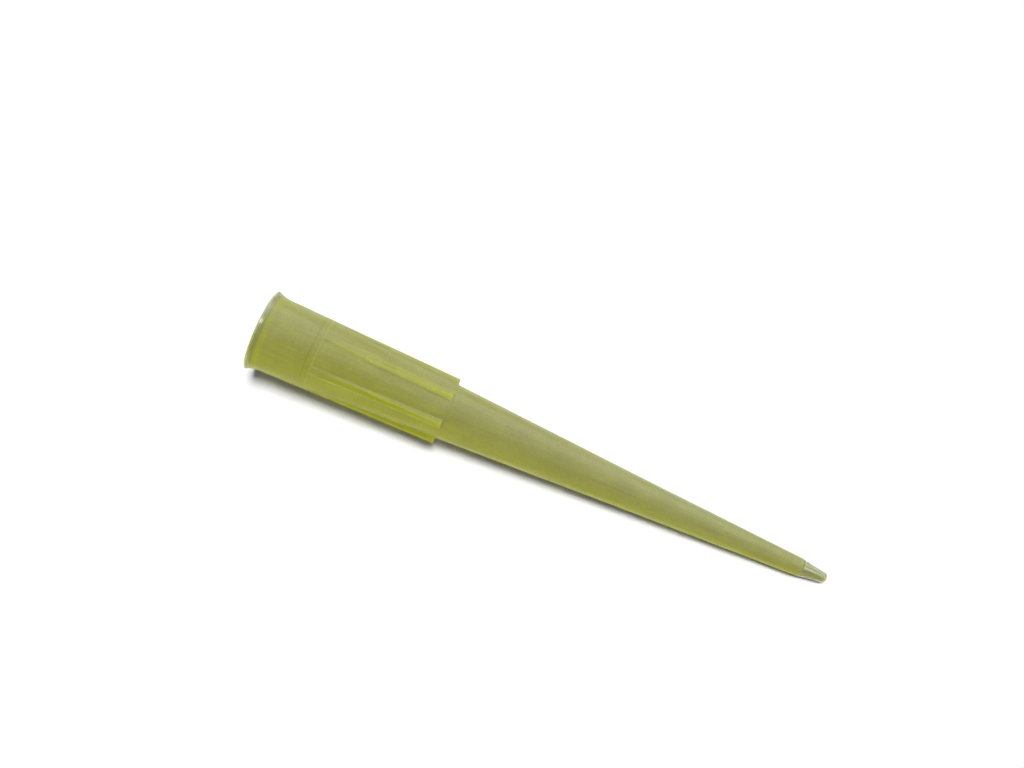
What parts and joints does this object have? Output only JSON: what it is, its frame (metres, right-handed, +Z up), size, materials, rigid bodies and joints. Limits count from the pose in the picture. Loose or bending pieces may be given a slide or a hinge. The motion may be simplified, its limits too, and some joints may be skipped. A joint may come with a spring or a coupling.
{
  "type": "pipette tip",
  "caption": "Disposable pipette tip: thin translucent cone with a flared mouth rim, smooth collar, short ribs that end in square shoulders, and a fine outlet.",
  "frame": {"origin": "middle of the footprint, on the surface that the tip lies on", "axes": "+X along the tip from the mouth to the outlet, +Z up, +Y across; the tip's own axis slopes down towards the outlet by about 3.1 degrees"},
  "size_m": [0.0512, 0.0068, 0.0069],
  "materials": {
    "tip_plastic": "translucent yellow-green moulded polypropylene, finely frosted, with a polished nose"
  },
  "bodies": {
    "root": {"pipette_tip": "tip_plastic"}
  },
  "joints": []
}
